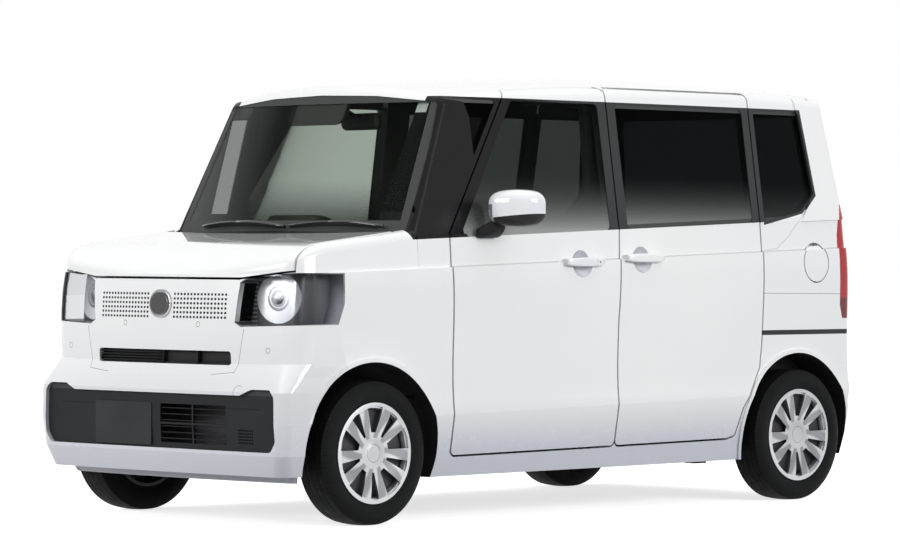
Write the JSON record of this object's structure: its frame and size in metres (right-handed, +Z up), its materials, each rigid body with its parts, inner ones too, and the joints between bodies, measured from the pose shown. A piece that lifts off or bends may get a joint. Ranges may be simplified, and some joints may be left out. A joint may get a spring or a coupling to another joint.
{
  "type": "kei car",
  "caption": "Tall box-shaped light wagon with hinged front doors, sliding rear doors, lifting tailgate and bonnet, and steered front wheels on fitted covers",
  "frame": {"origin": "on the road at the middle of the overall length and width", "axes": "-Y is the nose, +X is the car's left side, +Z is up"},
  "size_m": [1.896, 3.3949, 1.7898],
  "materials": {
    "body_paint": "pearl paint, gloss",
    "black_trim": "fine grained",
    "cover_silver": "silver paint, satin",
    "steel": "plain steel",
    "cast": "cast, painted dark",
    "tyre": "tyre rubber",
    "clear_glass": "clear, green tint",
    "dark_glass": "privacy tint",
    "lamp_clear": "clear lens",
    "lamp_works": "dark gloss housing, bright ring",
    "lamp_red": "red lens",
    "cabin_plastic": "grained",
    "seat_fabric": "woven cloth",
    "plate": "blank, dark satin"
  },
  "bodies": {
    "car": {"roof_panel": "body_paint", "side_frame_left": "body_paint", "side_frame_right": "body_paint", "bulkhead": "black_trim", "cowl": "black_trim", "floor_pan": "black_trim", "arch_liners": "black_trim", "front_fenders": "body_paint", "front_bumper": "body_paint", "lower_grille": "black_trim", "nose_panel": "body_paint", "headlights": "lamp_works", "headlight_lenses": "lamp_clear", "front_plate": "plate", "windscreen": "clear_glass", "fixed_glass": "dark_glass", "sliding_doors": "body_paint", "sliding_door_glass": "dark_glass", "sliding_door_handles": "body_paint", "rear_bumper": "body_paint", "tail_lights": "lamp_red", "front_subframe": "steel", "engine_block": "cast", "rear_axle": "steel", "fuel_tank": "steel", "dashboard": "cabin_plastic", "steering_column": "cabin_plastic", "front_seats": "seat_fabric", "rear_seats": "seat_fabric", "seat_bases": "cabin_plastic"},
    "front_door_left_body": {"front_door_left": "body_paint", "front_door_glass_left": "clear_glass", "door_mirror_left": "body_paint", "front_door_handle_left": "body_paint"},
    "front_door_right_body": {"front_door_right": "body_paint", "front_door_glass_right": "clear_glass", "door_mirror_right": "body_paint", "front_door_handle_right": "body_paint"},
    "bonnet_body": {"bonnet": "body_paint"},
    "tailgate_body": {"tailgate": "body_paint", "tailgate_glass": "dark_glass"},
    "fuel_lid_body": {"fuel_lid": "body_paint"},
    "steering_wheel_body": {"steering_wheel": "cabin_plastic"},
    "knuckle_left_body": {"knuckle_left": "cast"},
    "knuckle_right_body": {"knuckle_right": "cast"},
    "wheel_front_left": {"front_tyre_left": "tyre", "front_wheel_left": "cover_silver"},
    "wheel_front_right": {"front_tyre_right": "tyre", "front_wheel_right": "cover_silver"},
    "wheel_rear_left": {"rear_tyre_left": "tyre", "rear_wheel_left": "cover_silver"},
    "wheel_rear_right": {"rear_tyre_right": "tyre", "rear_wheel_right": "cover_silver"}
  },
  "joints": [
    {"name": "steer_left", "type": "hinge", "parent": "car", "child": "knuckle_left_body", "pos_m": [0.602, -1.2115, 0.2785], "axis": [0, 0, 1], "range_deg": [-35, 35]},
    {"name": "steer_right", "type": "hinge", "parent": "car", "child": "knuckle_right_body", "pos_m": [-0.602, -1.2115, 0.2785], "axis": [0, 0, 1], "range_deg": [-35, 35]},
    {"name": "steering_wheel_turn", "type": "hinge", "parent": "car", "child": "steering_wheel_body", "pos_m": [-0.335, -0.43, 0.985], "axis": [0, 0.8829, 0.4695], "range_deg": [-525, 525]},
    {"name": "roll_front_left", "type": "hinge", "parent": "knuckle_left_body", "child": "wheel_front_left", "pos_m": [0.6525, -1.2115, 0.2785], "axis": [1, 0, 0], "continuous": true},
    {"name": "roll_front_right", "type": "hinge", "parent": "knuckle_right_body", "child": "wheel_front_right", "pos_m": [-0.6525, -1.2115, 0.2785], "axis": [1, 0, 0], "continuous": true},
    {"name": "roll_rear_left", "type": "hinge", "parent": "car", "child": "wheel_rear_left", "pos_m": [0.6525, 1.3085, 0.2785], "axis": [1, 0, 0], "continuous": true},
    {"name": "roll_rear_right", "type": "hinge", "parent": "car", "child": "wheel_rear_right", "pos_m": [-0.6525, 1.3085, 0.2785], "axis": [1, 0, 0], "continuous": true},
    {"name": "front_door_left_swing", "type": "hinge", "parent": "car", "child": "front_door_left_body", "pos_m": [0.722, -0.761, 0.67], "axis": [0, 0, -1], "range_deg": [0, 65]},
    {"name": "front_door_right_swing", "type": "hinge", "parent": "car", "child": "front_door_right_body", "pos_m": [-0.722, -0.761, 0.67], "axis": [0, 0, 1], "range_deg": [0, 65]},
    {"name": "bonnet_lift", "type": "hinge", "parent": "car", "child": "bonnet_body", "pos_m": [0, -1.054, 1.129], "axis": [-1, 0, 0], "range_deg": [0, 45]},
    {"name": "tailgate_lift", "type": "hinge", "parent": "car", "child": "tailgate_body", "pos_m": [0, 1.507, 1.772], "axis": [1, 0, 0], "range_deg": [0, 85]},
    {"name": "fuel_lid_swing", "type": "hinge", "parent": "car", "child": "fuel_lid_body", "pos_m": [0.724, 1.35, 1.01], "axis": [0, 0, -1], "range_deg": [0, 80]}
  ],
  "couplings": [
    {"joint": "steer_right", "follows": "steer_left", "ratio": 1},
    {"joint": "steering_wheel_turn", "follows": "steer_left", "ratio": 15}
  ]
}
